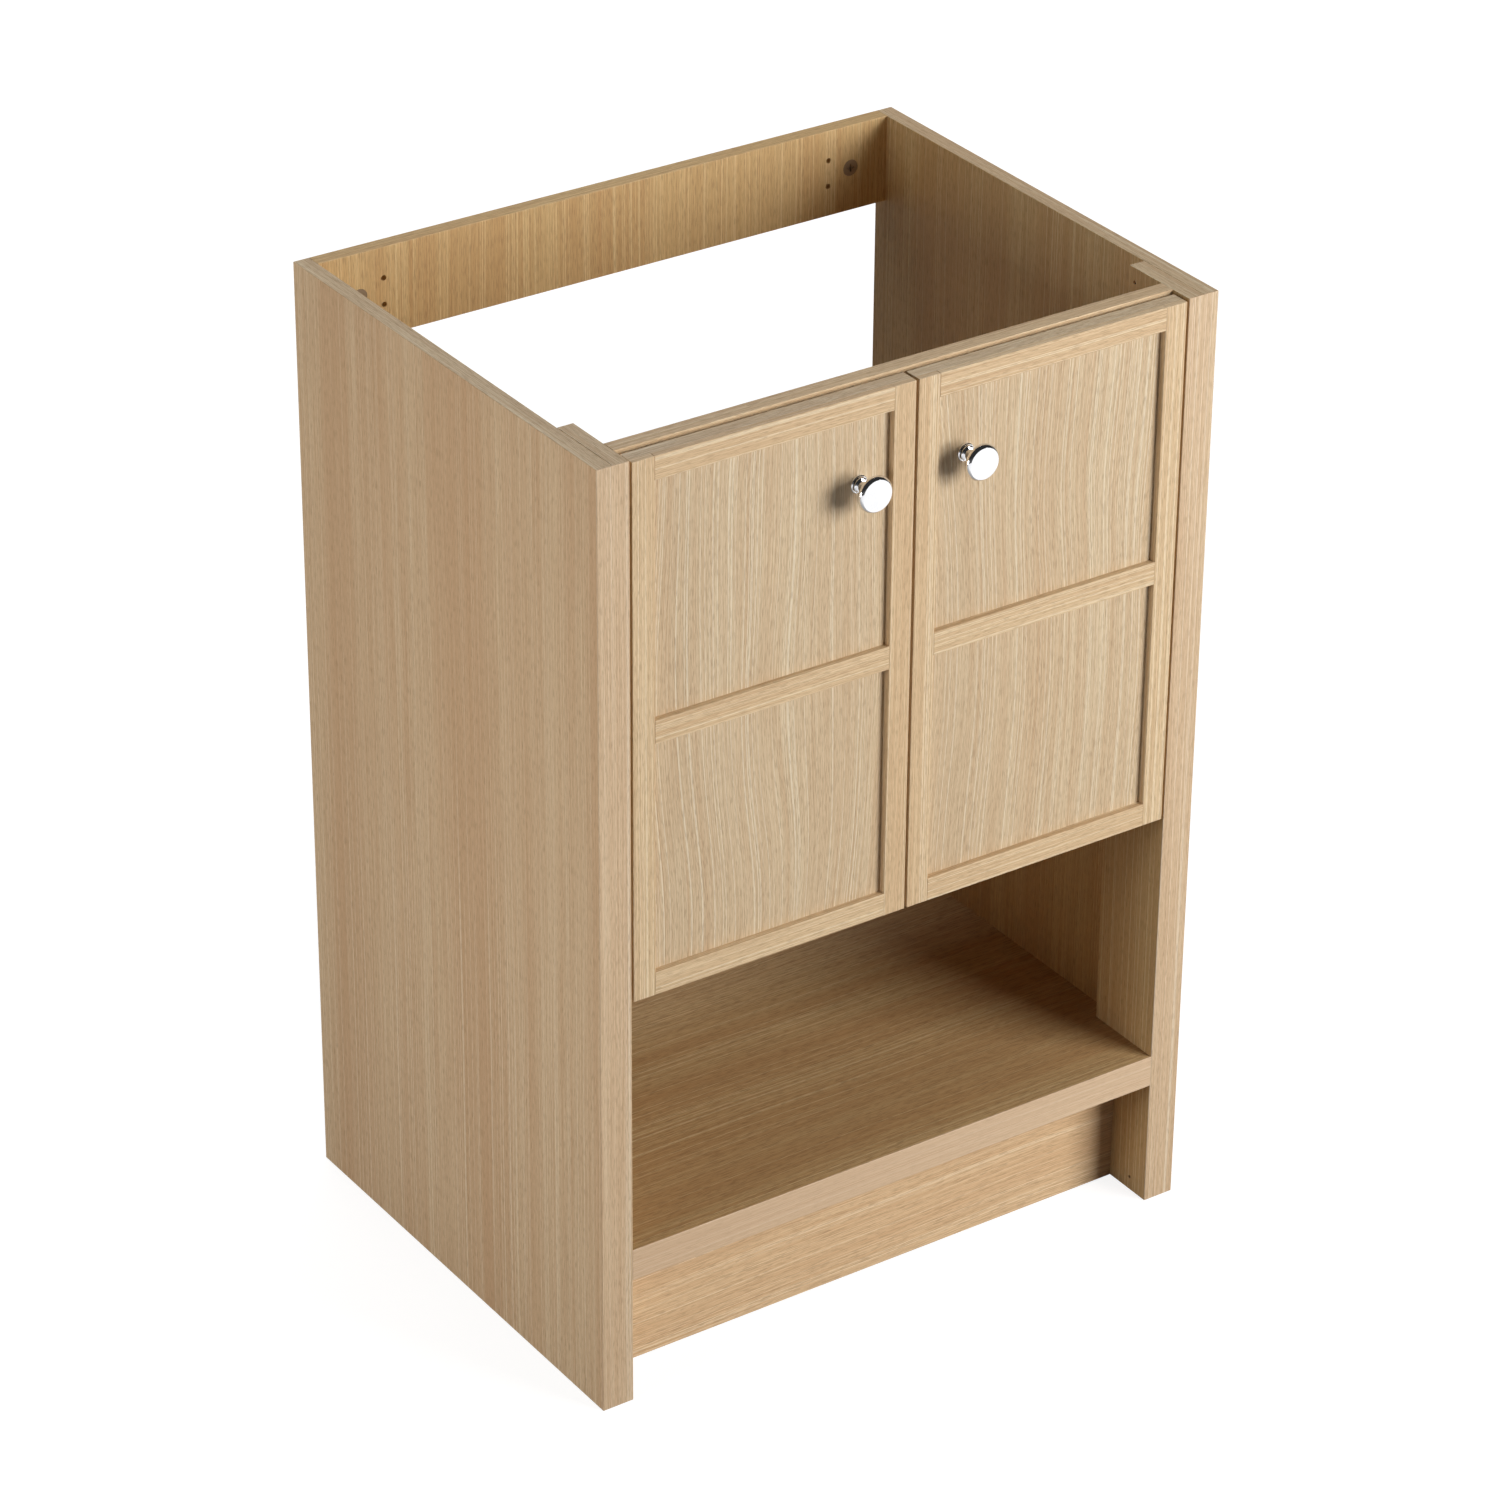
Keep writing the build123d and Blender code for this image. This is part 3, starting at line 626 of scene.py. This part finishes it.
class VANITY_OT_uprights(Operator):
    """Finish the side panels, the front fillers and their edge bands"""

    bl_idname = "vanity.uprights"
    bl_label = "Uprights"

    def execute(self, context):
        dress_boards(UPRIGHT_BOARDS, 1)
        return {"FINISHED"}


class VANITY_OT_levels(Operator):
    """Finish the rails, the cabinet floor, the shelf and the toe kick"""

    bl_idname = "vanity.levels"
    bl_label = "Rails and shelves"

    def execute(self, context):
        dress_boards(LEVEL_BOARDS, 1 + len(UPRIGHT_BOARDS))
        return {"FINISHED"}


class VANITY_OT_doors(Operator):
    """Finish the two doors, panel by panel and strip by strip"""

    bl_idname = "vanity.doors"
    bl_label = "Doors"

    def execute(self, context):
        boards = {
            f"{side}_door_{key}": kind for side in SIDES for key, kind in DOOR_BOARDS.items()
        }
        dress_boards(boards, 1 + len(UPRIGHT_BOARDS) + len(LEVEL_BOARDS))
        return {"FINISHED"}


def knob_outline(knob):
    """The radius and height of each ring of a knob, from the bottom of its bore to its face."""
    ring_start = knob.foot + knob.groove
    neck_start = ring_start + knob.ring
    neck = Vector((knob.neck_radius, neck_start, 0))
    rim_back = Vector((knob.head_radius - RIM_INSET_BACK, knob.reach - knob.head, 0))
    rim_face = Vector((knob.head_radius - RIM_INSET_FACE, knob.reach, 0))
    flare = interpolate_bezier(
        neck, neck + NECK_HANDLE, rim_back - FLARE_HANDLE, rim_back, CURVE_POINTS
    )
    rim = interpolate_bezier(
        rim_back, rim_back + RIM_BACK_HANDLE, rim_face + RIM_FACE_HANDLE, rim_face, CURVE_POINTS
    )
    rings = [
        (knob.bore_radius, knob.bore),
        (knob.bore_radius, 0),
        (knob.foot_radius, 0),
        (knob.foot_radius, knob.foot - knob.ease),
        (knob.foot_radius - knob.ease, knob.foot),
        (knob.neck_radius, knob.foot),
        (knob.neck_radius, ring_start),
        (knob.ring_radius - knob.ease, ring_start),
        (knob.ring_radius, ring_start + knob.ease),
        (knob.ring_radius, neck_start - knob.ease),
        (knob.ring_radius - knob.ease, neck_start),
    ]
    rings += [(point.x, point.y) for point in flare + rim[1:]]
    rings += [(rim_face.x - steps * knob.ease, knob.reach) for steps in FACE_RING_STEPS]
    return rings


def turn_knob(name, seat, outline):
    """Model a knob ring by ring along -Y from a disc; its seat is a point on the door's panel."""
    bpy.ops.object.select_all(action="DESELECT")
    radius, height = outline[0]
    bpy.ops.mesh.primitive_circle_add(
        vertices=KNOB_SIDES,
        radius=radius,
        fill_type="NGON",
        location=seat - Vector((0, height, 0)),
        rotation=(math.pi / 2, 0, 0),
    )
    piece = bpy.context.object
    piece.name = name
    bpy.ops.object.mode_set(mode="EDIT")
    bpy.ops.mesh.select_all(action="SELECT")
    for next_radius, next_height in outline[1:]:
        rise = (0, height - next_height, 0)
        bpy.ops.mesh.extrude_region_move(TRANSFORM_OT_translate={"value": rise})
        swell = next_radius / radius
        centre = seat - Vector((0, next_height, 0))
        bpy.ops.transform.resize(value=(swell, 1, swell), center_override=centre)
        radius, height = next_radius, next_height
    bpy.ops.mesh.select_all(action="SELECT")
    bpy.ops.mesh.normals_make_consistent(inside=False)
    bpy.ops.object.mode_set(mode="OBJECT")
    bpy.ops.object.transform_apply(location=True, rotation=True, scale=True)
    bpy.ops.object.shade_smooth_by_angle(angle=KNOB_SMOOTH_ANGLE)
    return piece


class VANITY_OT_knobs(Operator):
    """Turn the two knobs and plate them with chrome"""

    bl_idname = "vanity.knobs"
    bl_label = "Knobs"

    def execute(self, context):
        outline = knob_outline(context.scene.vanity_knob)
        chrome = metal("polished_chrome", "chrome")
        for side in SIDES:
            low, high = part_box(f"{side}_door_knob")
            seat = Vector(((low.x + high.x) / 2, high.y, (low.z + high.z) / 2))
            knob = turn_knob(f"{side}_turned_knob", seat, outline)
            knob.data.materials.append(chrome)
            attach(knob, f"{side}_door")
            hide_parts(f"{side}_door_knob")
        return {"FINISHED"}


class VANITY_OT_hinges(Operator):
    """Plate the concealed hinges with nickel"""

    bl_idname = "vanity.hinges"
    bl_label = "Hinges"

    def execute(self, context):
        nickel = metal("nickel_plate", "nickel")
        for side in SIDES:
            for piece in HINGE_PIECES:
                dress(f"{side}_{piece}", nickel)
        return {"FINISHED"}


class VANITY_OT_fixings(Operator):
    """Finish the screws, bolts, cam locks and dowels"""

    bl_idname = "vanity.fixings"
    bl_label = "Fixings"

    def execute(self, context):
        plating = metal("zinc_plate", "plating")
        casting = metal("die_cast_zinc", "casting")
        for node in SCREW_NODES:
            dress(node, plating)
        dress("cam_locks", casting)
        dress("dowels", beech("beech"))
        return {"FINISHED"}


class VANITY_OT_bumpers(Operator):
    """Finish the clear bumpers on the backs of the doors"""

    bl_idname = "vanity.bumpers"
    bl_label = "Bumpers"

    def execute(self, context):
        rubber = clear_rubber("clear_rubber")
        for side in SIDES:
            dress(f"{side}_door_bumpers", rubber)
        return {"FINISHED"}


def seen_directly(make):
    """1 for a ray from the camera, or one that comes by way of a mirror or through glass."""
    camera, glossy, through = map(make.is_ray, ("Camera", "Glossy", "Transmission"))
    return (camera + glossy + through).at_most(1)


def floor_paint(stage):
    """Paper that bounces light as grey paper does, but shows a white that keeps the shadow."""
    make = Shader(bpy.data.materials.new("white_paper"))
    plain = make.node("ShaderNodeBsdfDiffuse", {}, {"Color": grey(stage.floor_bounce)})
    shaded = make.node("ShaderNodeBsdfDiffuse", {}, {"Color": grey(stage.floor_shade)})
    spot = make.coordinate("Object")
    distance = make.node("ShaderNodeVectorMath", {"operation": "LENGTH"}, {0: spot}, "Value")
    paper = make.blend(make.between(distance, *PAPER_FADE), grey(stage.floor_white), WHITE)
    # Painted shade: the floor's far part is greyer only where a reflection sees it
    far = make.between(make.split(spot)[Y], *FAR_FLOOR_FADE) * make.is_ray("Glossy")
    paper = make.blend(far, paper, grey(stage.far_floor_shade))
    white = make.node("ShaderNodeEmission", {}, {"Color": paper, "Strength": 1.0})
    shown = make.node("ShaderNodeAddShader", {}, {0: shaded, 1: white})
    mixed = make.node("ShaderNodeMixShader", {}, {0: seen_directly(make), 1: plain, 2: shown})
    make.node("ShaderNodeOutputMaterial", {}, {"Surface": mixed})
    return make.owner


def studio_world(stage):
    """Even light and a white backdrop; reflections show a room's grey walls and dark ceiling."""
    make = Shader(bpy.data.worlds.new("studio"))
    up = make.split(make.coordinate("Generated"))[Z]
    room = make.blend(make.between(up, *CEILING_FADE), grey(stage.walls), grey(stage.ceiling))
    seen = make.blend(make.is_ray("Camera"), room, WHITE)
    backdrop = make.node("ShaderNodeBackground", {}, {"Color": seen})
    ambient = make.node("ShaderNodeBackground", {}, {"Color": WHITE, "Strength": stage.ambient})
    mixed = make.node("ShaderNodeMixShader", {}, {0: seen_directly(make), 1: ambient, 2: backdrop})
    make.node("ShaderNodeOutputWorld", {}, {"Surface": mixed})
    return make.owner


def soft_lamp(name, spot, aim, width, watts):
    """A square lamp that faces a point."""
    turn = (Vector(aim) - Vector(spot)).to_track_quat("-Z", "Y").to_euler()
    bpy.ops.object.light_add(type="AREA", location=spot, rotation=turn)
    lamp = bpy.context.object
    lamp.name = name
    lamp.data.shape = "SQUARE"
    lamp.data.size = width
    lamp.data.energy = watts


class VANITY_OT_stage(Operator):
    """Lay the floor, hang the lamps and set up the camera"""

    bl_idname = "vanity.stage"
    bl_label = "Stage"

    def execute(self, context):
        stage = context.scene.vanity_stage
        bpy.ops.object.select_all(action="DESELECT")
        bpy.ops.mesh.primitive_plane_add(size=stage.floor_size)
        floor = context.object
        floor.name = "floor"
        floor.data.materials.append(floor_paint(stage))
        for lamp in LAMPS:
            spot, width, watts = (
                getattr(stage, f"{lamp}_{key}") for key in ("place", "size", "power")
            )
            soft_lamp(f"{lamp}_lamp", spot, stage.aim, width, watts)
        context.scene.world = studio_world(stage)
        bpy.ops.object.camera_add(location=stage.camera_place, rotation=stage.camera_turn)
        camera = context.object
        camera.data.sensor_width = SENSOR_WIDTH
        camera.data.lens = stage.lens
        context.scene.camera = camera
        context.scene.view_settings.view_transform = "Standard"
        return {"FINISHED"}


STEPS = (
    VANITY_OT_uprights,
    VANITY_OT_levels,
    VANITY_OT_doors,
    VANITY_OT_knobs,
    VANITY_OT_hinges,
    VANITY_OT_fixings,
    VANITY_OT_bumpers,
    VANITY_OT_stage,
)
GROUPS = {
    "vanity_oak": VanityOak,
    "vanity_metal": VanityMetal,
    "vanity_knob": VanityKnob,
    "vanity_stage": VanityStage,
}


class VANITY_PT_sidebar(Panel):
    """The steps that finish the vanity unit, in order, and the sizes and colours they use"""

    bl_label = "Oak vanity unit"
    bl_space_type = "VIEW_3D"
    bl_region_type = "UI"
    bl_category = "Vanity"

    def draw(self, context):
        for step in STEPS:
            self.layout.operator(step.bl_idname)
        for name, group in GROUPS.items():
            box = self.layout.box()
            for key in group.__annotations__:
                box.prop(getattr(context.scene, name), key)


def register():
    """Add the properties, the operators and the panel."""
    for name, group in GROUPS.items():
        bpy.utils.register_class(group)
        setattr(bpy.types.Scene, name, PointerProperty(type=group))
    for step in STEPS:
        bpy.utils.register_class(step)
    bpy.utils.register_class(VANITY_PT_sidebar)


def unregister():
    """Take the panel, the operators and the properties away again."""
    bpy.utils.unregister_class(VANITY_PT_sidebar)
    for step in reversed(STEPS):
        bpy.utils.unregister_class(step)
    for name, group in GROUPS.items():
        delattr(bpy.types.Scene, name)
        bpy.utils.unregister_class(group)


def main():
    """Run every step in order."""
    register()
    for step in STEPS:
        family, action = step.bl_idname.split(".")
        getattr(getattr(bpy.ops, family), action)()


if __name__ == "__main__":
    main()
